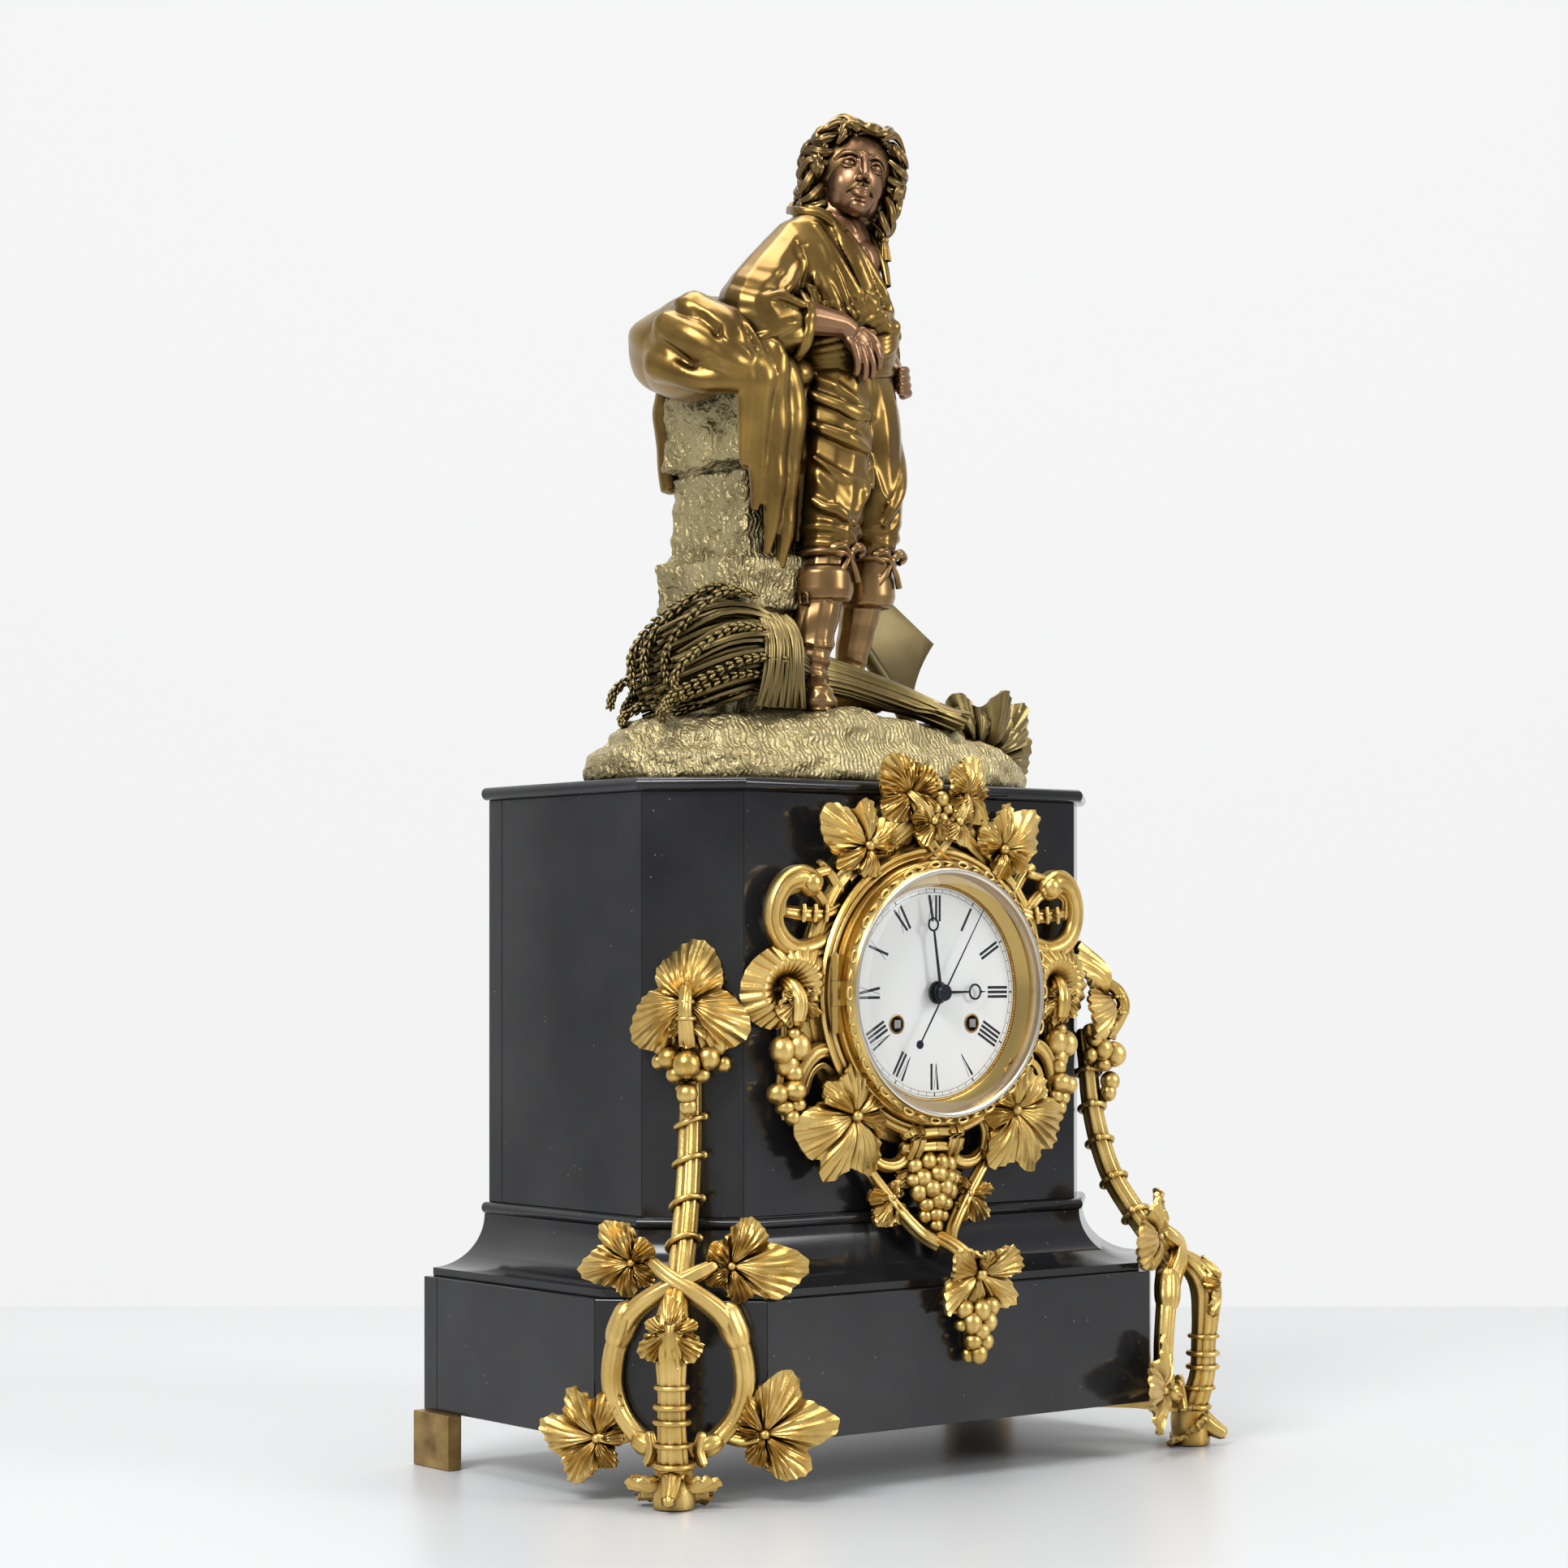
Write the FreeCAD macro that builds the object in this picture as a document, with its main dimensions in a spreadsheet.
"""A striking mantel clock: black marble case, gilt bronze mounts, bronze figure group, round two-train movement.

Millimetres. +Z up, the clock faces -Y, and the origin is the middle of the box it fills, at the table.
Everything is drawn about the middle of the case and then moved back by case_shift.
"""
import FreeCAD, Part

import math
import os

import Sketcher
from FreeCAD import Matrix, Placement, Rotation, Vector

doc = FreeCAD.newDocument("mantel_clock")
sheet = doc.addObject("Spreadsheet::Sheet", "dims")

DRIVING = {
    # the marble case, in plan
    "case_shift": 26.3,
    "half_flat": 108.0,          # half of the front face, between the canted corners
    "corner": 35.0,              # leg of each canted corner
    "body_depth": 168.0,
    "slab": 12.0,
    "plinth_out": 39.0,          # how far the plinth stands past the body
    "cove_out": 33.5,
    "cap_out": 4.5,
    # the marble case, in height
    "foot_tall": 27.5,
    "plinth_top": 94.3,
    "bead_low": 124.3,
    "body_low": 130.1,
    "body_top": 335.0,
    "cap_top": 341.5,
    # dial and bezel
    "dial_z": 237.5,
    "dial_rad": 52.0,
    "dial_front": 98.5,          # dial face, forward of the middle of the case
    "dial_thick": 1.5,
    "glass_rad": 59.5,
    "glass_back": 109.5,
    "glass_thick": 2.5,
    "opening_rad": 52.5,
    "door_rad": 64.5,
    "hinge_x": 68.2,
    "back_open_rad": 58.0,
    # movement
    "plate_rad": 47.5,
    "plate_thick": 2.0,
    "front_plate": 90.0,         # front face of the front plate
    "back_plate": 54.0,          # rear face of the back plate
    "wind_x": 24.5,
    "wind_drop": 15.5,
    "pivot_up": 34.5,            # pallet arbor and pendulum pivot above the dial centre
    "pend_long": 110.0,
    "bob_rad": 17.0,
    "bell_rad": 30.0,
    # figure group
    "rock_half_x": 128.0,
    "rock_half_y": 74.0,
    "rock_tall": 37.0,
}
for row, (alias, value) in enumerate(DRIVING.items(), start=1):
    sheet.set(f"A{row}", alias)
    sheet.set(f"B{row}", str(value))
    sheet.setAlias(f"B{row}", alias)
doc.recompute()


def val(alias):
    """The sheet's number under an alias."""
    return float(sheet.get(alias))


nodes = []          # the finished sub-parts, in the order they are made


def bind(obj, **sizes):
    """Binds an object's properties to expressions over the sheet."""
    for prop, expr in sizes.items():
        if isinstance(expr, str):
            obj.setExpression(prop, expr)
        else:
            setattr(obj, prop, expr)
    return obj


def move(obj, x="0", y="0", z="0"):
    """Binds an object's place to expressions over the sheet."""
    obj.setExpression(".Placement.Base.x", x)
    obj.setExpression(".Placement.Base.y", y)
    obj.setExpression(".Placement.Base.z", z)
    return obj


def box(name, length, width, height, x="0", y="0", z="0"):
    """A box whose corner is at x, y, z."""
    return move(bind(doc.addObject("Part::Box", name), Length=length, Width=width, Height=height), x, y, z)


def disc(name, radius, thick, x="0", y="0", z="0"):
    """A disc lying across the Y axis, from y backwards by thick."""
    obj = bind(doc.addObject("Part::Cylinder", name), Radius=radius, Height=thick)
    obj.Placement = Placement(Vector(), Rotation(Vector(1, 0, 0), -90))
    return move(obj, x, y, z)


def cut(name, base, *tools):
    """base with the tools taken out of it."""
    obj = base
    for n, tool in enumerate(tools):
        step = doc.addObject("Part::Cut", f"{name}_cut{n}")
        step.Base, step.Tool = obj, tool
        obj = step
    return obj


def fuse(name, *parts):
    """The parts joined into one."""
    obj = doc.addObject("Part::MultiFuse", f"{name}_fused")
    obj.Shapes = list(parts)
    return obj


def group(name, *parts):
    """Separate solids kept side by side in one node."""
    obj = doc.addObject("Part::Compound", f"{name}_group")
    obj.Links = list(parts)
    return obj


def node(label, obj):
    """Names a finished sub-part and moves it from the middle of the case to the model's origin."""
    if obj.TypeId in ("Part::Box", "Part::Cylinder"):
        obj = group(label, obj)
    obj.Label = label
    obj.setExpression(".Placement.Base.y", "dims.case_shift")
    nodes.append(obj)
    return obj


def made(label, shape):
    """A sub-part whose shape is built here in code from the sheet's sizes."""
    obj = doc.addObject("Part::Feature", label)
    obj.Shape = Part.makeCompound(shape if isinstance(shape, list) else [shape])
    obj.Placement = Placement(Vector(0, 0, 0), Rotation())
    return node(label, obj)


def prism(label, corners, low, high, mirrored=False):
    """A PartDesign body: a polygon in plan, each corner held by two bound distances, padded from low to high."""
    body = doc.addObject("PartDesign::Body", f"{label}_body")
    sketch = body.newObject("Sketcher::SketchObject", f"{label}_sketch")
    sketch.AttachmentSupport = [(origin_plane(body, "XY_Plane"), "")]
    sketch.MapMode = "FlatFace"
    points = [(sketch.evalExpression(x), sketch.evalExpression(y)) for x, y in corners]
    count = len(points)
    for n in range(count):
        start, end = points[n], points[(n + 1) % count]
        sketch.addGeometry(Part.LineSegment(Vector(*start, 0), Vector(*end, 0)), False)
    for n in range(count):
        sketch.addConstraint(Sketcher.Constraint("Coincident", n, 2, (n + 1) % count, 1))
    for n, expressions in enumerate(corners):
        for kind, expr, value in zip(("DistanceX", "DistanceY"), expressions, points[n]):
            at = sketch.addConstraint(Sketcher.Constraint(kind, -1, 1, n, 1, value))
            sketch.setExpression(f"Constraints[{at}]", expr)
    sketch.setExpression(".AttachmentOffset.Base.z", low)
    pad = body.newObject("PartDesign::Pad", f"{label}_pad")
    pad.Profile = sketch
    pad.setExpression("Length", f"{high} - ({low})")
    if mirrored:
        doc.recompute()
        twin = body.newObject("PartDesign::Mirrored", f"{label}_mirror")
        twin.Originals = [pad]
        twin.MirrorPlane = (origin_plane(body, "YZ_Plane"), [""])
        body.Tip = twin
    return body


def origin_plane(body, role):
    """One of a body's own origin planes."""
    return [f for f in body.Origin.OriginFeatures if f.Role == role][0]


# ---------------------------------------------------------------- marble case
FRONT = "-dims.body_depth / 2"
REAR = "dims.body_depth / 2"
TAN = "0.41421356"           # tan 22.5: what a canted corner's edge moves for each millimetre outwards


def outline(out):
    """The case's plan, moved out by an expression on every side but the flush back."""
    flat = f"(dims.half_flat + ({out}) * {TAN})"
    wide = f"(dims.half_flat + dims.corner + ({out}))"
    front = f"({FRONT} - ({out}))"
    shoulder = f"({FRONT} + dims.corner - ({out}) * {TAN})"
    return [(f"-{flat}", front), (flat, front), (wide, shoulder), (wide, REAR),
            (f"-{wide}", REAR), (f"-{wide}", shoulder)]


def walls(prefix, out, low, high):
    """Five walls of slab marble round a hollow: front, sides and canted corners. The back is made apart."""
    thick = "dims.slab"
    outer, inner = outline(out), outline(f"{out} - {thick}")
    cap_front = [outer[0], outer[1], inner[1], inner[0]]
    corner_wall = [outer[1], outer[2], inner[2], inner[1]]
    back_inside = f"{REAR} - {thick}"
    side_wall = [outer[2], (outer[2][0], back_inside), (inner[2][0], back_inside), inner[2]]
    return (prism(f"{prefix}front_slab", cap_front, low, high),
            prism(f"{prefix}corner_slabs", corner_wall, low, high, mirrored=True),
            prism(f"{prefix}side_slabs", side_wall, low, high, mirrored=True))


def plinth():
    """The hollow base: five walls and a back slab."""
    low, high = "dims.foot_tall", "dims.plinth_top"
    front, corners, sides = walls("plinth_", "dims.plinth_out", low, high)
    node("plinth_front_slab", front)
    node("plinth_corner_slabs", corners)
    node("plinth_side_slabs", sides)
    wide = "(dims.half_flat + dims.corner + dims.plinth_out)"
    node("plinth_back_slab", box("plinth_back", f"2 * {wide}", "dims.slab", f"{high} - {low}",
                                 f"-{wide}", f"{REAR} - dims.slab", low))


def plan_wire(out, z):
    """The plan outline as a wire at height z."""
    flat = val("half_flat") + out * math.tan(math.radians(22.5))
    wide = val("half_flat") + val("corner") + out
    front, rear = -val("body_depth") / 2 - out, val("body_depth") / 2
    shoulder = front + val("corner") + out * (1 - math.tan(math.radians(22.5)))
    return Part.makePolygon([Vector(x, y, z) for x, y in (
        (-flat, front), (flat, front), (wide, shoulder), (wide, rear), (-wide, rear), (-wide, shoulder),
        (-flat, front))])


def scotia_moulding():
    """The hollow-curved moulding between plinth and body: a stack of rings that follow a quarter ellipse."""
    low, high = val("plinth_top"), val("bead_low")
    fillet, out, neck, steps = 4.1, val("cove_out"), 2.6, 14
    across, down = out - neck, high - low - fillet
    turns = [math.pi / 2 * n / steps for n in range(steps + 1)]
    levels = [(out, low)] + [(out - across * math.cos(a), high - down * math.sin(a)) for a in reversed(turns)]
    skin = Part.makeLoft([plan_wire(o, z) for o, z in levels], True, True)
    wall = val("slab") + 8
    hollow = Part.Face(plan_wire(-wall, low - 1)).extrude(Vector(0, 0, high - low + 2))
    hollow.translate(Vector(0, -wall, 0))
    made("scotia_moulding", skin.cut(hollow))


def rounded_slab(label, low, high):
    """A thin slab with a half-round edge on every side but the flush back."""
    low, high, out = val(low), val(high), val("cap_out")
    radius, steps = (high - low) / 2 - 0.1, 8
    turns = [math.pi * n / steps for n in range(steps + 1)]
    levels = [(out - radius + radius * math.sin(a), (low + high) / 2 - radius * math.cos(a)) for a in turns]
    levels = [(out - radius, low)] + levels + [(out - radius, high)]
    made(label, Part.makeLoft([plan_wire(o, z) for o, z in levels], True, True))


def body_walls():
    """The clock's marble body: a front pierced for the movement, sides, canted corners, and a pierced back."""
    low, high = "dims.body_low", "dims.body_top"
    front, corners, sides = walls("", "0", low, high)
    hole = disc("front_hole", "dims.opening_rad", "3 * dims.slab", "0", f"{FRONT} - dims.slab", "dims.dial_z")
    node("front_slab", cut("front_slab", front, hole))
    node("corner_slabs", corners)
    node("side_slabs", sides)
    wide = "(dims.half_flat + dims.corner)"
    back = box("back", f"2 * {wide}", "dims.slab", f"{high} - {low}", f"-{wide}", f"{REAR} - dims.slab", low)
    hatch = disc("back_hole", "dims.back_open_rad", "3 * dims.slab", "0", f"{REAR} - 2 * dims.slab", "dims.dial_z")
    node("back_slab", cut("back_slab", back, hatch))


def rear_feet():
    """Two brass feet of L plan under the back of the plinth."""
    wall, long, wide, proud = "8", "32", "24", "6.5"
    edge = f"(dims.half_flat + dims.corner + dims.plinth_out + {proud})"
    feet = []
    for side, outer, inner in (("left", f"-{edge}", f"-{edge}"), ("right", f"{edge} - {wall}", f"{edge} - {wide}")):
        outer_wall = box(f"{side}_foot_side", wall, long, "dims.foot_tall", outer, f"{REAR} - {long}")
        back_wall = box(f"{side}_foot_back", wide, wall, "dims.foot_tall", inner, f"{REAR} - {wall}")
        feet.append(fuse(f"{side}_foot", outer_wall, back_wall))
    node("rear_feet", group("rear_feet", *feet))


# ---------------------------------------------------------------- gilt bronze mounts
def tube(points, radius):
    """A round rod along straight runs joined by tangent arcs."""
    points = [Vector(*p) for p in points]
    edges, start = [], points[0]
    for n in range(1, len(points) - 1):
        before, here, after = points[n - 1], points[n], points[n + 1]
        reach = 0.45 * min((here - before).Length, (after - here).Length)
        into = here + (before - here).normalize() * reach
        out_of = here + (after - here).normalize() * reach
        half = (before - here).getAngle(after - here) / 2
        curve = reach * math.tan(half)
        middle = (before - here).normalize() + (after - here).normalize()
        top = here + middle.normalize() * (curve / math.sin(half) - curve)
        edges += [Part.LineSegment(start, into).toShape(), Part.Arc(into, top, out_of).toShape()]
        start = out_of
    edges.append(Part.LineSegment(start, points[-1]).toShape())
    path = Part.Wire(edges)
    ring = Part.Wire(Part.makeCircle(radius, points[0], points[1] - points[0]))
    return path.makePipeShell([ring], True, False)


def leaf_plan(long, wide):
    """A vine leaf in plan: five toothed lobes, the stalk at the origin and the tip up."""
    right = [(0.10, 0.02), (0.34, -0.06), (0.50, 0.10), (0.40, 0.24), (0.50, 0.44), (0.46, 0.62),
             (0.28, 0.58), (0.22, 0.80), (0.0, 1.0)]
    left = [(-x, z) for x, z in reversed(right[:-1])]
    return [(x * wide, z * long) for x, z in right + left]


def leaf(x, z, long, wide, turn, front, back):
    """A vine leaf as a plate from front to back (y), turned so many degrees from upright to the right."""
    a = math.radians(-turn)
    points = [Vector(x + px * math.cos(a) - pz * math.sin(a), back, z + px * math.sin(a) + pz * math.cos(a))
              for px, pz in leaf_plan(long, wide)]
    return Part.Face(Part.makePolygon(points + points[:1])).extrude(Vector(0, front - back, 0))


def ball(x, y, z, radius):
    """One grape."""
    return Part.makeSphere(radius, Vector(x, y, z))


def peg(x, z, radius, front, back):
    """A round stub from front to back."""
    return Part.makeCylinder(radius, back - front, Vector(x, front, z), Vector(0, 1, 0))


def both(shape):
    """A shape and its mirror image about the clock's centre plane."""
    return [shape, shape.mirror(Vector(), Vector(1, 0, 0))]


def joined(shapes):
    """All the shapes fused to one casting."""
    return shapes[0].multiFuse(shapes[1:]).removeSplitter()


def dial_frame_mount():
    """The vine frame round the dial, one casting: crest, leaves, scrolls, flowers, grapes and lower swag."""
    face = -val("body_depth") / 2
    zc = val("dial_z")
    parts = []
    band = peg(0, zc, val("dial_rad") + 26, face - 7, face).cut(
        peg(0, zc, val("dial_rad") + 20.5, face - 8, face + 1))
    parts.append(band)
    for crest in both(leaf(2, 308, 44, 46, 28, face - 24, face)):
        parts.append(crest)
    parts.append(peg(0, 330, 11, face - 25, face))
    for shape in (leaf(34, 304, 34, 38, 62, face - 16, face), leaf(48, 300, 26, 30, 150, face - 13, face),
                  tube([(60, face - 8, 290), (74, face - 12, 297), (92, face - 10, 292), (97, face - 9, 274),
                        (84, face - 8, 262), (72, face - 8, 270)], 5.0),
                  peg(88, zc + 2.5, 21, face - 17, face), peg(88, 210, 6, face - 12, face),
                  peg(88, 199, 9, face - 14, face), peg(87, 185, 6.5, face - 12, face),
                  tube([(68, face - 7, 214), (84, face - 9, 206), (99, face - 9, 192), (96, face - 8, 172),
                        (80, face - 8, 164)], 5.0),
                  leaf(62, 196, 52, 56, 205, face - 20, face),
                  leaf(42, 172, 34, 34, 160, face - 14, face),
                  tube([(40, face - 8, 158), (30, face - 8, 138), (16, face - 8, 124), (3, face - 8, 115)], 4.0),
                  leaf(20, 134, 22, 20, 120, face - 10, face)):
        parts += both(shape)
    for side in (-1, 1):
        ring = Part.makeTorus(10.5, 3.2, Vector(side * 21, face - 7, 164), Vector(0, 1, 0))
        parts.append(ring)
    parts.append(tube([(-14, face - 7, 164), (0, face - 8, 168), (14, face - 7, 164)], 3.4))
    for x, z in ((-10, 150), (0, 152), (10, 149), (-6, 141), (0, 131)):
        parts.append(ball(x, face - 7, z, 6.6))
    shape = joined(parts)
    ledge = 0.2
    bead_front, cove_front = face - val("cap_out") - ledge, face - 7
    clear = [peg(0, zc, 66.4, face - 40, face + 1), peg(0, zc, 71.3, face - 3.4, face + 1),
             Part.makeBox(300, 40, 30, Vector(-150, bead_front, val("body_low") - 30)),
             Part.makeBox(300, 40, 40, Vector(-150, cove_front, val("bead_low") - 40)),
             Part.makeBox(300, 40, val("cap_top") - val("body_top"), Vector(-150, bead_front, val("body_top")))]
    frame = shape
    for obstacle in clear:
        frame = frame.cut(obstacle)
    made("dial_frame_mount", frame)
    return frame


def drop_mount(frame):
    """The leaf and grapes that hang from the frame in front of the hollow moulding and the plinth."""
    face = -val("body_depth") / 2 - val("plinth_out")
    leaf_low = leaf(0, 110, 36, 52, 180, face - 9, face - 1)
    stem = tube([(0, face + 28, 120), (0, face + 16, 116), (0, face - 5, 104)], 4.5)
    grapes = [ball(x, face - 7, z, 6.2) for x, z in ((-5.5, 80), (5.5, 80), (0, 71), (0, 62))]
    screw_pad = peg(0, 68, 5, face - 8, face)
    made("drop_mount", joined([leaf_low, stem, screw_pad] + grapes).cut(frame))


def corner_mount():
    """One corner mount, drawn facing -Y at the foot of the wall it stands on."""
    def at(points):
        return [(u, -s, z) for u, s, z in points]

    def plate(u, s, z, long, wide, turn, tilt=0.0, thick=4.0):
        shape = leaf(0, 0, long, wide, turn, -thick / 2, thick / 2)
        shape.rotate(Vector(), Vector(1, 0, 0), tilt)
        shape.translate(Vector(u, -s, z))
        return shape

    parts = [plate(0, 4.4, 256, 52, 48, 180, -22, 6.0),
             tube(at([(0, 8, 232), (0, 7, 200), (0, 9, 180), (0, 12, 160), (0, 19, 140), (0, 30, 122), (0, 44, 104),
                      (0, 53, 96)]), 5.6),
             ball(0, -21, 220, 7)]
    parts += [ball(u, -s, z, 6.2) for u, s, z in ((-9, 9, 208), (9, 9, 208), (-4, 16, 203), (6, 17, 200),
                                                  (0, 18, 190), (0, 15, 181))]
    parts += [plate(-2, 40, 108, 44, 40, -78, -14, 5.0), plate(2, 40, 106, 54, 44, 80, -14, 5.0)]
    loop = [(28 * math.sin(a), 46, 62.5 + 33 * math.cos(a)) for a in
            [math.radians(12 + 28 * n) for n in range(13)]]
    parts.append(tube(at(loop), 4.6))
    parts.append(tube(at([(0, 50, 100), (0, 60, 92), (0, 67.5, 80), (0, 67, 60), (0, 66, 44), (0, 62, 28),
                          (0, 60, 17), (0, 66, 9.5), (0, 74, 6.5)]), 6.2))
    parts += [ball(0, -69, 48, 7.5), plate(0, 70, 66, 34, 28, 0, -8, 4.0)]
    toe = [Vector(-22, -56, 0), Vector(-14, -78, 0), Vector(0, -84, 0), Vector(14, -78, 0), Vector(22, -56, 0),
           Vector(0, -50, 0)]
    toe_plate = Part.Face(Part.makePolygon(toe + toe[:1])).extrude(Vector(0, 0, 5.5))
    foot = Part.makeCylinder(9, 22, Vector(0, -60, 0))
    parts += [toe_plate, foot]
    parts += [plate(-18, 45.5, 42, 44, 52, -108, 0, 6.0), plate(18, 45.5, 42, 54, 56, 104, 0, 6.0)]
    parts.append(Part.makeBox(16, 52, 5, Vector(-8, -62, 14)))
    return joined(parts)


def corner_mounts():
    """The two corner mounts, each the other's mirror image, against the canted corners."""
    flat, corner, front = val("half_flat"), val("corner"), -val("body_depth") / 2
    left = corner_mount()
    left.rotate(Vector(), Vector(0, 0, 1), -45)
    left.translate(Vector(-flat - corner / 2, front + corner / 2, 0))
    right = left.mirror(Vector(), Vector(1, 0, 0))
    made("corner_mount_left", left)
    made("corner_mount_right", right)


# ---------------------------------------------------------------- dial, glazed door and hands
ALONG = Vector(0, 1, 0)


def turned(profile, x=0.0, z=0.0):
    """A ring turned about the fore-and-aft axis through x, z from a closed profile of (radius, y) points."""
    points = [Vector(radius, y, 0) for radius, y in profile]
    shape = Part.Face(Part.makePolygon(points + points[:1])).revolve(Vector(), ALONG, 360)
    shape.translate(Vector(x, 0, val("dial_z") + z))
    return Part.Solid(shape.Shells[0]) if shape.ShapeType != "Solid" else shape


def rod(radius, front, back, x=0.0, z=0.0):
    """A shaft along Y, placed from the dial centre."""
    return Part.makeCylinder(radius, back - front, Vector(x, front, val("dial_z") + z), ALONG)


def block(x_low, x_high, front, back, z_low, z_high):
    """A rectangular block placed from the dial centre."""
    corner = Vector(x_low, front, val("dial_z") + z_low)
    return Part.makeBox(x_high - x_low, back - front, z_high - z_low, corner)


def upright(radius, x, y, z_low, z_high):
    """A vertical round, placed from the dial centre."""
    return Part.makeCylinder(radius, z_high - z_low, Vector(x, y, val("dial_z") + z_low))


HINGE_Y = -104.15
BACK_HINGE = (62.5, 90.6)


def dial_and_front_ring():
    """The turned brass ring that carries dial, door and movement, and the enamel dial let into it."""
    seat, lug = -val("body_depth") / 2, 51.5
    dial = -val("dial_front")
    ring = turned([(54, seat), (71, seat), (71, seat - 2), (66, seat - 3), (66, -104), (59.5, -104),
                   (val("dial_rad") + 0.5, dial), (54, dial)])
    for side in (-1, 1):
        ear = block(min(side * 50.6, side * 57), max(side * 50.6, side * 57), -92, -86, -4, 4)
        ring = ring.fuse(ear)
    hinge_x = -val("hinge_x")
    for low, high in ((-19, -6.2), (6.2, 19)):
        leaf_plate = block(hinge_x, -60, -103.9, -102.4, low, high)
        ring = ring.fuse(leaf_plate).fuse(upright(1.9, hinge_x, HINGE_Y, low, high))
    ring = ring.cut(upright(0.9, hinge_x, HINGE_Y, -25, 25))
    made("front_bezel_ring", ring.removeSplitter())
    enamel = turned([(3.6, dial), (54, dial), (54, dial + val("dial_thick")), (3.6, dial + val("dial_thick"))])
    for side in (-1, 1):
        enamel = enamel.cut(rod(4.6, dial - 1, dial + 4, side * val("wind_x"), -val("wind_drop")))
    made("enamel_dial", enamel)


def glazed_door():
    """The door: a brass rim, its bevelled glass, and the pins of both hinges."""
    back, front = val("glass_back"), val("glass_back") + val("glass_thick")
    outer, glass = val("door_rad"), val("glass_rad")
    rim = turned([(glass, -front), (outer - 2.2, -front), (outer, -front + 2.6), (outer, -104.3),
                  (glass - 1.2, -104.3), (glass - 1.2, -back), (glass, -back)])
    hinge_x = -val("hinge_x")
    rim = rim.fuse(block(hinge_x, -62.5, -105.9, -104.45, -5.8, 5.8)).fuse(upright(1.9, hinge_x, HINGE_Y, -5.8, 5.8))
    rim = rim.cut(upright(0.95, hinge_x, HINGE_Y, -7, 7))
    made("bezel_door_ring", rim.removeSplitter())
    made("bezel_glass", turned([(0, -back), (0, -front), (glass - 3, -front), (glass, -front + 1.2), (glass, -back)]))
    x, y = BACK_HINGE
    made("hinge_pins", [upright(0.9, hinge_x, HINGE_Y, -19.8, 19.8), upright(0.9, x, y, -15.8, 15.8)])


def flat_shape(points, front, back, turn=0.0):
    """A thin plate cut to points drawn about twelve o'clock, turned so many degrees clockwise."""
    a = math.radians(-turn)
    corners = [Vector(px * math.cos(a) - pz * math.sin(a), back, px * math.sin(a) + pz * math.cos(a))
               for px, pz in points]
    shape = Part.Face(Part.makePolygon(corners + corners[:1])).extrude(Vector(0, front - back, 0))
    shape.translate(Vector(0, 0, val("dial_z")))
    return shape


def moon_hand(label, reach, ring_at, ring_rad, bore, turn, front):
    """A pierced hand: a boss, a tapering blade and an open ring part way along it."""
    a = math.radians(turn)
    back = front + 0.5
    blade = flat_shape([(-1.5, 3), (1.5, 3), (0.9, ring_at), (0.25, reach), (-0.25, reach), (-0.9, ring_at)],
                       front, back, turn)
    at_x, at_z = ring_at * math.sin(a), ring_at * math.cos(a)
    hand = blade.fuse(rod(bore + 2.6, front, back)).fuse(rod(ring_rad, front, back, at_x, at_z))
    hand = hand.cut(rod(ring_rad - 1.3, front - 1, back + 1, at_x, at_z)).cut(rod(bore, front - 1, back + 1))
    made(label, hand.removeSplitter())


def hands():
    """Blued steel hands, at about one minute to three."""
    moon_hand("hour_hand", 32, 24.5, 4.4, 2.8, 89.5, -101.4)
    moon_hand("minute_hand", 48.5, 34, 3.8, 2.0, -8.4, -103.8)
    turn = 32
    needle = flat_shape([(-0.35, -30), (0.35, -30), (0.45, 0), (0.2, 49), (-0.2, 49), (-0.45, 0)], -106.4, -105.9, turn)
    a = math.radians(turn)
    weight = rod(2.2, -106.4, -105.9, -30 * math.sin(a), -30 * math.cos(a))
    hand = needle.fuse(weight).fuse(rod(4.1, -107.2, -105.5)).cut(rod(0.8, -108, -105))
    made("seconds_hand", hand.removeSplitter())


# ---------------------------------------------------------------- movement
def place(start, distance, degrees):
    """The point so far from start in a direction, anticlockwise from three o'clock as seen from the front."""
    a = math.radians(degrees)
    return start[0] + distance * math.cos(a), start[1] + distance * math.sin(a)


def direction(start, end):
    """The direction from start to end, in radians."""
    return math.atan2(end[1] - start[1], end[0] - start[0])


def toothed(teeth, module, phase, front, back, at, small=False):
    """A wheel, or a small pinion, with narrow straight-sided teeth that run with a little shake."""
    add, sunk, root, tip = (0.65, 1.2, 0.5, 0.22) if small else (0.75, 1.15, 0.55, 0.2)
    outer, inner, pitch = module * (teeth / 2 + add), module * (teeth / 2 - sunk), 2 * math.pi / teeth
    points = []
    for n in range(teeth):
        a = phase + n * pitch
        for radius, width in ((inner, -root / 2), (outer, -tip / 2), (outer, tip / 2), (inner, root / 2)):
            turn = a + width * pitch
            points.append(Vector(radius * math.cos(turn), back, radius * math.sin(turn)))
    shape = Part.Face(Part.makePolygon(points + points[:1])).extrude(Vector(0, front - back, 0))
    shape.translate(Vector(at[0], 0, val("dial_z") + at[1]))
    return shape


def spokes(front, back, at, rim, hub, count=4):
    """What is cut from a wheel to leave its crossings."""
    gaps = []
    for n in range(count):
        start = 360 / count * n + 12
        end = start + 360 / count - 24
        arc = [start + (end - start) * k / 6 for k in range(7)]
        points = [place((0, 0), rim, d) for d in arc] + [place((0, 0), hub, (start + end) / 2)]
        corners = [Vector(px + at[0], back + 1, pz + at[1] + val("dial_z")) for px, pz in points]
        gaps.append(Part.Face(Part.makePolygon(corners + corners[:1])).extrude(Vector(0, front - back - 2, 0)))
    return gaps


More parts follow.
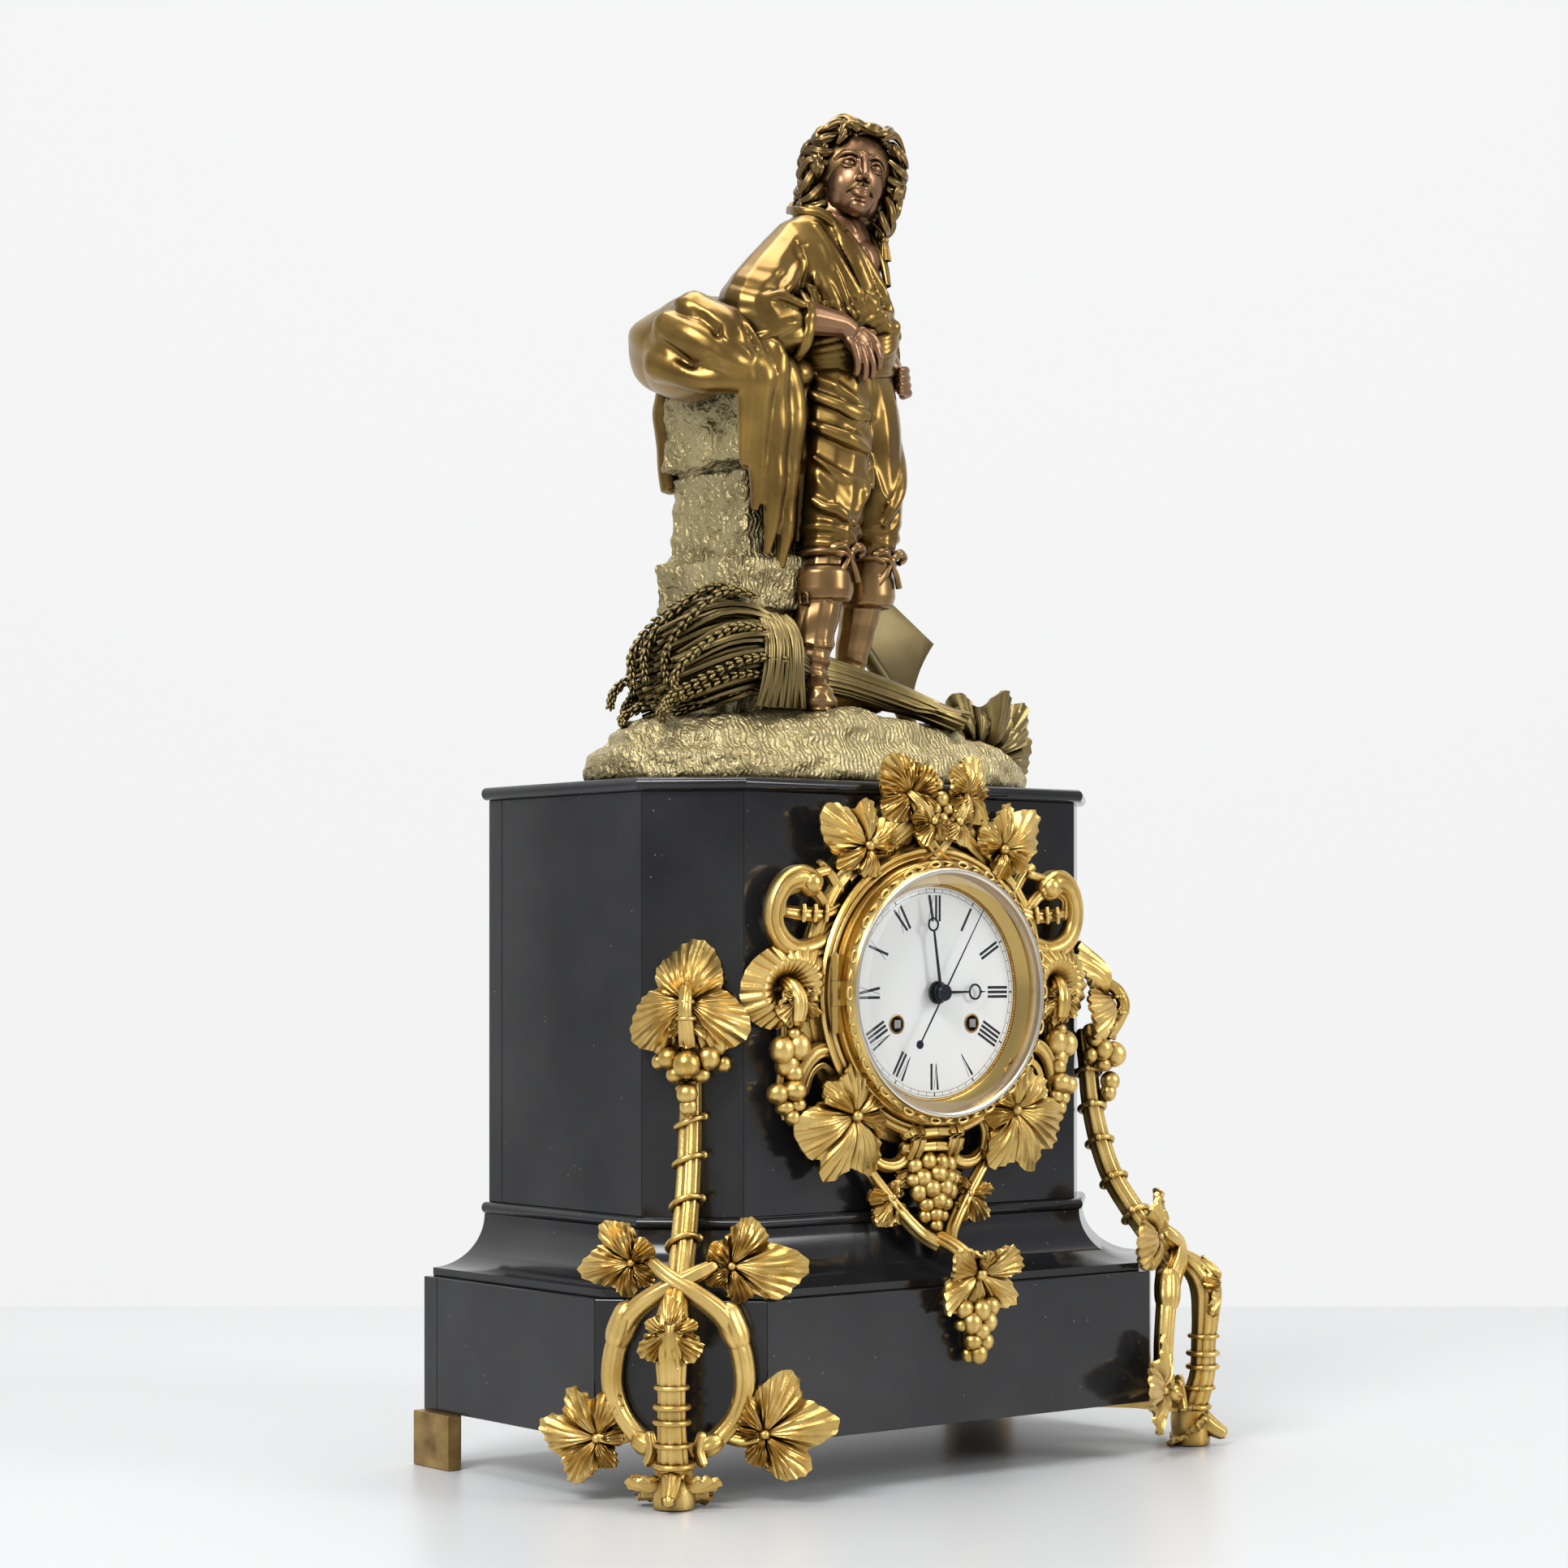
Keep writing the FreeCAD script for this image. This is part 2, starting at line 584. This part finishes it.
def crossed(teeth, module, phase, front, back, at):
    """A toothed wheel with four crossings."""
    wheel = toothed(teeth, module, phase, front, back, at)
    rim = module * teeth / 2 - module * 1.15 - 1.6
    for gap in spokes(front, back, at, rim, 3.4):
        wheel = wheel.cut(gap)
    return wheel


CENTRE = (0.0, 0.0)
GOING = (24.5, -15.5)
STRIKE = (-24.5, -15.5)
MIDDLE = (4.7, -19.75)
THIRD = place(CENTRE, 20.25, 30)
ESCAPE = (0.0, 21.0)
PALLETS = (0.0, 34.5)
PIN_WHEEL = (-24.5 - 13.031, 0.0)
LOCKING = place(PIN_WHEEL, 11.2, 45)
FLY = place(LOCKING, 8.75, 60)
MINUTE_STUD = (0.0, -12.0)
HAMMER = (-36.0, -24.0)
PILLARS = [place(CENTRE, 43, degrees) for degrees in (35, 90, 145, 270)]
PIVOT = 0.6


def phases(wheel_at, pinion_at, leaves):
    """The phases that put a wheel's tooth into a pinion's gap on their line of centres."""
    line = direction(wheel_at, pinion_at)
    return line, line + math.pi + math.pi / leaves


def pivoted(at, parts, radius=0.8):
    """An arbor between the plates with its two pivots, and what is fixed to it."""
    shafts = [rod(radius, -87.9, -56.1, *at), rod(PIVOT, -89.6, -54.4, *at)]
    return joined(shafts + parts)


def plates():
    """The two round plates, their four pillars, and the long straps that hold the movement in the case."""
    radius, thick = val("plate_rad"), val("plate_thick")
    front_y, back_y = -val("front_plate"), -val("back_plate")
    small = [MIDDLE, THIRD, ESCAPE, PIN_WHEEL, LOCKING, FLY]
    front = rod(radius, front_y, front_y + thick)
    back = rod(radius, back_y - thick, back_y)
    for side in (-1, 1):
        low, high = sorted((side * 46, side * 48.6))
        front = front.fuse(block(low, high, front_y, front_y + thick, -4, 4))
    for at in small:
        front = front.cut(rod(PIVOT + 0.05, front_y - 1, front_y + 3, *at))
        back = back.cut(rod(PIVOT + 0.05, back_y - 3, back_y + 1, *at))
    for at in (GOING, STRIKE):
        front = front.cut(rod(2.05, front_y - 1, front_y + 3, *at))
        back = back.cut(rod(1.55, back_y - 3, back_y + 1, *at))
    front = front.cut(rod(1.65, front_y - 1, front_y + 3)).cut(rod(PIVOT + 0.05, front_y - 1, front_y + 3, *PALLETS))
    back = back.cut(rod(PIVOT + 0.05, back_y - 3, back_y + 1)).cut(rod(0.85, back_y - 3, back_y + 1, *PALLETS))
    front = front.fuse(rod(1.0, -96.7, front_y + thick, *MINUTE_STUD))
    back = back.fuse(rod(1.2, back_y - thick, -3, *HAMMER))
    bolts = []
    for at in PILLARS:
        front = front.cut(rod(1.2, front_y - 1, front_y + 3, *at))
        back = back.cut(rod(1.2, back_y - 3, back_y + 1, *at))
        bolts.append(joined([rod(2.5, front_y + thick, back_y - thick, *at), rod(1.2, front_y - 0.8, back_y + 1.6, *at)]))
    made("front_plate", front.removeSplitter())
    made("back_plate", back.removeSplitter())
    made("plate_pillars", bolts)
    straps, bolts = [], []
    for side in (-1, 1):
        low, high = sorted((side * 48.6, side * 50.6))
        end_low, end_high = sorted((side * 46, side * 53))
        strap = block(low, high, -92, 84, -4, 4).fuse(block(end_low, end_high, 72, 84, -4, 4))
        bolt = joined([rod(1.5, 74, 88.5, side * 49.6), rod(3.0, 88, 90, side * 49.6)])
        straps.append(strap.cut(bolt).removeSplitter())
        bolts.append(bolt)
    made("movement_straps", straps)
    made("strap_screws", bolts)


def going_train():
    """Barrel, intermediate wheel, centre wheel, third wheel, seconds arbor and escape wheel."""
    barrel_phase, middle_leaf = phases(GOING, MIDDLE, 10)
    middle_phase, centre_leaf = phases(MIDDLE, CENTRE, 10)
    centre_phase, third_leaf = phases(CENTRE, THIRD, 10)
    third_phase, seconds_leaf = phases(THIRD, CENTRE, 10)
    fourth_phase, escape_leaf = phases(CENTRE, ESCAPE, 10)
    made("going_barrel", barrel(GOING, barrel_phase))
    made("going_winding_arbor", winding_arbor(GOING))
    made("intermediate_wheel", pivoted(MIDDLE, [
        crossed(60, 0.58, middle_phase, -86, -84.5, MIDDLE),
        toothed(10, 0.45, middle_leaf, -75, -71, MIDDLE, small=True)]))
    centre = joined([rod(1.6, -104.6, -79.0), crossed(80, 0.45, centre_phase, -81, -79.5, CENTRE),
                     toothed(10, 0.58, centre_leaf, -87, -83.5, CENTRE, small=True)])
    made("centre_arbor", centre.cut(rod(0.9, -110, -70)))
    made("third_wheel", pivoted(THIRD, [
        crossed(75, 0.47647, third_phase, -77.5, -76, THIRD),
        toothed(10, 0.45, third_leaf, -82, -78.5, THIRD, small=True)]))
    seconds = [rod(0.8, -107.2, -56.1), rod(PIVOT, -60, -54.4),
               toothed(10, 0.47647, seconds_leaf, -78.3, -75.3, CENTRE, small=True),
               crossed(60, 0.6, fourth_phase, -58.5, -57, CENTRE)]
    made("seconds_arbor", joined(seconds))
    teeth = []
    for n in range(15):
        near, tip, far = 24 * n - 3, 24 * n + 4, 24 * n + 5
        points = [place(ESCAPE, 7.4, near), place(ESCAPE, 10, tip), place(ESCAPE, 10, tip + 0.8), place(ESCAPE, 7.4, far)]
        corners = [Vector(x, -64.5, z + val("dial_z")) for x, z in points]
        teeth.append(Part.Face(Part.makePolygon(corners + corners[:1])).extrude(Vector(0, -1.5, 0)))
    rim = turned([(6.2, -66), (8, -66), (8, -64.5), (6.2, -64.5)], *ESCAPE)
    arms = [block(ESCAPE[0] - 7, ESCAPE[0] + 7, -66, -64.5, ESCAPE[1] - 0.6, ESCAPE[1] + 0.6),
            block(ESCAPE[0] - 0.6, ESCAPE[0] + 0.6, -66, -64.5, ESCAPE[1] - 7, ESCAPE[1] + 7)]
    made("escape_wheel", pivoted(ESCAPE, teeth + [rim] + arms + [
        rod(2.0, -66.5, -64, *ESCAPE), toothed(10, 0.6, escape_leaf, -59.5, -56.5, ESCAPE, small=True)]))


def barrel(at, phase):
    """A spring barrel with its great wheel; it turns freely on the winding arbor."""
    drum = rod(15, -72, -60, *at)
    return joined([drum, toothed(80, 0.45, phase, -74, -72, at)]).cut(rod(2.1, -80, -55, *at))


def winding_arbor(at):
    """The arbor inside a barrel, with the winding square that reaches the hole in the dial."""
    shaft = joined([rod(2.0, -91, -60, *at), rod(1.5, -62, -54.2, *at)])
    square = block(at[0] - 1.4, at[0] + 1.4, -98.2, -90.5, at[1] - 1.4, at[1] + 1.4)
    return joined([shaft, square])


def motion_work():
    """Cannon pinion, minute wheel and hour wheel, between the front plate and the dial."""
    cannon_phase = direction(CENTRE, MINUTE_STUD)
    minute_phase = cannon_phase + math.pi + math.pi / 36
    minute_leaf_phase = direction(MINUTE_STUD, CENTRE)
    hour_phase = minute_leaf_phase + math.pi + math.pi / 40
    cannon = joined([rod(2.0, -104.4, -91, *CENTRE), toothed(12, 0.5, cannon_phase, -94, -91, CENTRE, small=True)])
    made("cannon_pinion", cannon.cut(rod(1.68, -110, -85)))
    minute = joined([crossed(36, 0.5, minute_phase, -93, -91.5, MINUTE_STUD), rod(1.9, -96.5, -90.6, *MINUTE_STUD),
                     toothed(10, 0.48, minute_leaf_phase, -96.5, -93.2, MINUTE_STUD, small=True)])
    made("minute_wheel", minute.cut(rod(1.08, -100, -85, *MINUTE_STUD)))
    hour = joined([toothed(40, 0.48, hour_phase, -96, -94.5, CENTRE), rod(2.8, -101.6, -94.5)])
    made("hour_wheel", hour.cut(rod(2.08, -110, -90)))


def striking_train():
    """Strike barrel, pin wheel, locking wheel and fly, and the hammer they work."""
    barrel_phase, pin_leaf = phases(STRIKE, PIN_WHEEL, 10)
    pin_phase, locking_leaf = phases(PIN_WHEEL, LOCKING, 8)
    locking_phase, fly_leaf = phases(LOCKING, FLY, 8)
    made("strike_barrel", barrel(STRIKE, barrel_phase))
    made("strike_winding_arbor", winding_arbor(STRIKE))
    pins = [rod(0.5, -82.5, -79.5, *place(PIN_WHEEL, 7.4, 36 * n)) for n in range(10)]
    made("strike_pin_wheel", pivoted(PIN_WHEEL, pins + [
        toothed(48, 0.4, pin_phase, -84, -82.5, PIN_WHEEL),
        toothed(10, 0.45, pin_leaf, -75, -71, PIN_WHEEL, small=True)]))
    made("strike_locking_wheel", pivoted(LOCKING, [
        toothed(42, 0.35, locking_phase, -68, -66.5, LOCKING),
        toothed(8, 0.4, locking_leaf, -85, -81.5, LOCKING, small=True)], radius=0.7))
    vane = block(FLY[0] - 6.2, FLY[0] + 6.2, -64, -59, FLY[1] - 0.4, FLY[1] + 0.4)
    made("fly", pivoted(FLY, [vane, toothed(8, 0.35, fly_leaf, -69.5, -65, FLY, small=True)], radius=0.65))
    arm = [(HAMMER[0] - 1.2, HAMMER[1]), (HAMMER[0] + 1.2, HAMMER[1]), (-33.6, -8), (-35.6, -8)]
    corners = [Vector(x, -6, z + val("dial_z")) for x, z in arm]
    arm_plate = Part.Face(Part.makePolygon(corners + corners[:1])).extrude(Vector(0, -2, 0))
    sleeve = rod(2.4, -18, -4, *HAMMER)
    head = rod(4, -10, -2, -34.7, -7.5)
    made("hammer", joined([sleeve, arm_plate, head]).cut(rod(1.25, -30, 0, *HAMMER)))


def escapement_and_pendulum():
    """Anchor pallets with their crutch, the cock behind the plate, and the pendulum that hangs on it."""
    top = val("dial_z")
    px, pz = PALLETS
    shape = [(0, 3), (4, 1.6), (9.6, -3.6), (9.2, -6.0), (8.2, -6.2), (8.0, -4.2), (3.2, -1.2), (0, -2.4)]
    outline_points = shape + [(-x, z) for x, z in reversed(shape[1:-1])]
    corners = [Vector(px + x, -64.4, pz + z + top) for x, z in outline_points]
    anchor = Part.Face(Part.makePolygon(corners + corners[:1])).extrude(Vector(0, -1.7, 0))
    shafts = [rod(0.8, -87.9, -50, *PALLETS), rod(PIVOT, -89.6, -80, *PALLETS)]
    crutch = [block(-0.7, 0.7, -51.5, -50.3, 0, pz), block(-2.6, 2.6, -51.5, -50.3, -1, 1),
              block(-2.6, -1.6, -51, -44.5, -1, 1), block(1.6, 2.6, -51, -44.5, -1, 1)]
    made("pallets", joined(shafts + [anchor] + crutch))
    cock = joined([block(-5, 5, -54, -41.5, 40, 45), block(-5, 5, -43, -41.5, 31, 45),
                   rod(1.0, -49, -42, *PALLETS)])
    made("suspension_cock", cock.cut(rod(1.3, -60, -52.2, *PILLARS[1])))
    length, bob = val("pend_long"), val("bob_rad")
    hub = rod(2.4, -47.2, -44.8, *PALLETS).cut(rod(1.05, -50, -40, *PALLETS))
    bottom = pz - length
    shaft = Part.makeCylinder(1.1, length + bob - 0.4, Vector(0, -46, top + bottom - bob - 1))
    shaft = shaft.cut(rod(1.05, -50, -40, *PALLETS))
    nut = Part.makeCylinder(3.2, 2.4, Vector(0, -46, top + bottom - bob - 3.4))
    made("pendulum_rod", joined([hub, shaft, nut]))
    disc_bob = turned([(0, -50), (8, -49.6), (bob, -47), (bob, -45), (8, -42.4), (0, -42)], 0, bottom)
    hole = Part.makeCylinder(1.1, 2 * bob + 10, Vector(0, -46, top + bottom - bob - 5))
    made("pendulum_bob", disc_bob.cut(hole))


def bell_and_stand():
    """The round bell behind the movement and the post from the back plate that holds it."""
    radius, z = val("bell_rad"), -8.0
    outer = [(radius, -10), (radius - 0.3, -4), (radius - 2.2, 1), (radius - 6, 4.6), (radius - 12, 6.8), (2.2, 8)]
    inner = [(2.2, 6.2), (radius - 12.4, 5.1), (radius - 7.4, 3.1), (radius - 4, 0), (radius - 2.2, -4.6),
             (radius - 2, -10)]
    made("bell", turned(outer + inner, 0, z))
    post_x, post_z = 24.0, -32.0
    reach = math.hypot(post_x, post_z - z)
    arm = Part.makeBox(reach + 6, 3, 6, Vector(-3, 9, -3))
    arm.rotate(Vector(), ALONG, math.degrees(math.atan2(z - post_z, post_x)))
    arm.translate(Vector(0, 0, val("dial_z") + z))
    post = [rod(2.0, -val("back_plate"), 12, post_x, post_z), rod(4.5, -val("back_plate"), -50, post_x, post_z), arm,
            rod(2.2, 5, 12, 0, z), rod(4.5, 2.5, 5.9, 0, z), rod(4.5, 8, 9, 0, z)]
    made("bell_stand", joined(post))


def back_ring_and_door():
    """The turned ring on the back of the case and the dished brass door hinged to it."""
    rear = val("body_depth") / 2
    x, y = BACK_HINGE
    ring = turned([(44, rear), (66, rear), (66, rear + 3), (64.5, rear + 4), (44, rear + 4)])
    for side in (-1, 1):
        ring = ring.cut(rod(1.5, 70, 95, side * 49.6))
    for low, high in ((-15, -5.2), (5.2, 15)):
        ring = ring.fuse(block(x - 2, x + 1.9, rear + 2, y, low, high)).fuse(upright(1.9, x, y, low, high))
    made("back_bezel_ring", ring.cut(upright(0.9, x, y, -18, 18)).removeSplitter())
    door = turned([(0, rear + 9), (56.5, rear + 9), (58, rear + 7.5), (58, rear + 4.3), (56.4, rear + 4.3),
                   (56.4, rear + 6.6), (55.6, rear + 7.6), (0, rear + 7.6)])
    door = door.fuse(block(56.9, x, y - 0.75, y + 0.75, -4.8, 4.8)).fuse(upright(1.9, x, y, -4.8, 4.8))
    door = door.cut(upright(0.95, x, y, -7, 7))
    for n in range(12):
        at = place(CENTRE, 38, 30 * n)
        door = door.cut(rod(3.2, rear, rear + 12, *at))
    made("back_door", door.fuse(rod(3, rear + 8.5, rear + 14, -50)).removeSplitter())


# ---------------------------------------------------------------- bronze figure group
def limb(start, start_rad, end, end_rad):
    """A tapering round limb with rounded ends."""
    start, end = Vector(*start), Vector(*end)
    shaft = Part.makeCone(start_rad, end_rad, (end - start).Length, start, end - start)
    return [shaft, Part.makeSphere(start_rad * 1.02, start), Part.makeSphere(end_rad * 1.02, end)]


def oval(x, y, z, half_x, half_y, half_z):
    """An egg-shaped solid."""
    grow = Matrix()
    grow.scale(half_x, half_y, half_z)
    shape = Part.makeSphere(1.0).transformGeometry(grow)
    shape.translate(Vector(x, y, z))
    return shape


def section(x, y, z, half_x, half_y):
    """A level oval section of the trunk."""
    return Part.Wire(Part.Ellipse(Vector(x, y, z), half_x, half_y).toShape())


def young_man():
    """The standing figure: boots, breeches, loose blouse, leaning arm, hand on hip, and head."""
    parts = []
    parts += limb((-6, -24, 394), 9.5, (-5, -26, 452), 11.5) + limb((-4, -25, 452), 13, (0, -17, 535), 20)
    parts += limb((24, -6, 394), 9.5, (27, -15, 452), 11.5) + limb((26, -15, 452), 13, (18, -12, 535), 20)
    for heel, toe in (((-6, -22, 387), (-9, -48, 386)), ((24, -6, 387), (36, -28, 386))):
        parts += limb(heel, 8.5, toe, 7.0)
    trunk = Part.makeLoft([section(9, -14, 528, 36, 24), section(9, -13, 548, 33, 22), section(10, -13, 566, 27, 19),
                           section(10, -14, 596, 36, 23), section(11, -13, 616, 38, 20),
                           section(12, -13, 632, 24, 14), section(12, -14, 640, 13, 12)], True)
    parts.append(trunk)
    parts += limb((-20, -12, 618), 14, (-42, -6, 580), 13) + limb((-42, -6, 576), 12, (-6, -34, 568), 7.5)
    parts += limb((42, -10, 618), 14, (63, 4, 588), 12.5) + limb((63, 4, 586), 11, (45, -14, 562), 7.5)
    parts.append(Part.makeSphere(8.5, Vector(1, -38, 566)))
    parts += limb((12, -14, 632), 10.5, (13, -18, 646), 10)
    parts += [oval(13, -21, 663, 17.5, 20.5, 23), oval(13, -14, 666, 25, 23, 25)]
    return joined(parts)


def stone_pillar():
    """The rough stone pillar the figure leans on, its blocks a little out of line."""
    blocks = [Part.makeBox(56, 70, 90, Vector(-62, -24, 370)), Part.makeBox(52, 68, 42, Vector(-59, -22, 460)),
              Part.makeBox(50, 66, 43, Vector(-58, -21, 502))]
    return joined(blocks)


def terrace():
    """The rocky ground: a low oval with a higher step under the figure."""
    low, wide, deep = val("cap_top"), val("rock_half_x"), val("rock_half_y")
    ground = Part.Face(Part.Wire(Part.Ellipse(Vector(0, 0, low), wide, deep).toShape())).extrude(Vector(0, 0, 22))
    step = Part.Face(Part.Wire(Part.Ellipse(Vector(-16, 0, low), wide - 22, deep - 4).toShape()))
    step = step.extrude(Vector(0, 0, val("rock_tall")))
    boss = Part.makeCylinder(30, 41, Vector(6, -28, low))
    return joined([ground, step, boss])


def figure_group():
    """Everything that stands on the top slab, each casting cut clear of the ones it is fixed against."""
    man, pillar = young_man(), stone_pillar()
    ground = terrace().fuse(pillar).cut(man)
    made("figure", man)
    made("rock_base", ground.removeSplitter())
    bundle = joined([oval(-37, 8, 560, 36, 40, 26), Part.makeBox(60, 78, 16, Vector(-67, -27, 546)),
                     Part.makeBox(34, 9, 92, Vector(-58, -33, 455)),
                     Part.makeBox(40, 8, 70, Vector(-60, 46, 480))])
    cloak = bundle.cut(pillar).cut(man)
    made("cloak", cloak)
    stalks = [Part.Wire(Part.Circle(Vector(*at), Vector(-0.96, 0.25, 0), radius).toShape())
              for at, radius in (((46, -52, 390), 8), ((-20, -46, 398), 12), ((-52, -40, 404), 15), ((-78, -22, 404), 22),
                                 ((-100, 0, 402), 25), ((-118, 12, 400), 14))]
    sheaf = Part.makeLoft(stalks, True, True)
    made("wheat_sheaf", sheaf.cut(terrace()).cut(pillar).cut(man).cut(cloak))
    blade = [(52, 458), (92, 424), (74, 388), (38, 418)]
    corners = [Vector(x, 14, z) for x, z in blade]
    plate = Part.Face(Part.makePolygon(corners + corners[:1])).extrude(Vector(0, -4, 0))
    spade = joined([plate, tube([(34, 12, 424), (58, 12, 404), (76, 12, 380)], 4.5)])
    made("spade", spade.cut(terrace()).cut(man))
    leaves = [oval(98, -8, 368, 24, 30, 12)]
    for turn in (-80, -35, 10, 55, 100):
        blade_leaf = leaf(0, 0, 44, 34, 0, -2.5, 2.5)
        blade_leaf.rotate(Vector(), Vector(1, 0, 0), 52)
        blade_leaf.rotate(Vector(), Vector(0, 0, 1), turn)
        blade_leaf.translate(Vector(94, -8, 368))
        leaves.append(blade_leaf)
    made("leaf_plant", joined(leaves).cut(terrace()).cut(spade))


# ---------------------------------------------------------------- making and writing
plinth()
scotia_moulding()
rounded_slab("bead_slab", "bead_low", "body_low")
body_walls()
rounded_slab("cap_slab", "body_top", "cap_top")
rear_feet()
drop_mount(dial_frame_mount())
corner_mounts()
dial_and_front_ring()
glazed_door()
hands()
plates()
going_train()
motion_work()
striking_train()
escapement_and_pendulum()
bell_and_stand()
back_ring_and_door()
figure_group()

doc.recompute()
doc.recompute()
for obj in doc.Objects:
    faults = {"Invalid", "Error"} & set(obj.State)
    if faults:
        raise RuntimeError(f"{obj.Label} could not be made: {obj.State}")
os.makedirs("parts", exist_ok=True)
for obj in nodes:
    if obj.Shape.isNull() or not obj.Shape.isValid():
        raise RuntimeError(f"{obj.Label} has no sound shape")
for obj in nodes:
    obj.Shape.exportStep(f"parts/{obj.Label}.step")
    box_at_rest = obj.Shape.BoundBox
    print(f"{obj.Label:24s} {len(obj.Shape.Solids):2d} solids {obj.Shape.Volume:10.0f} mm3  "
          f"x {box_at_rest.XMin:7.1f} {box_at_rest.XMax:7.1f}  y {box_at_rest.YMin:7.1f} {box_at_rest.YMax:7.1f}  "
          f"z {box_at_rest.ZMin:6.1f} {box_at_rest.ZMax:6.1f}")
print(len(nodes), "sub-parts")
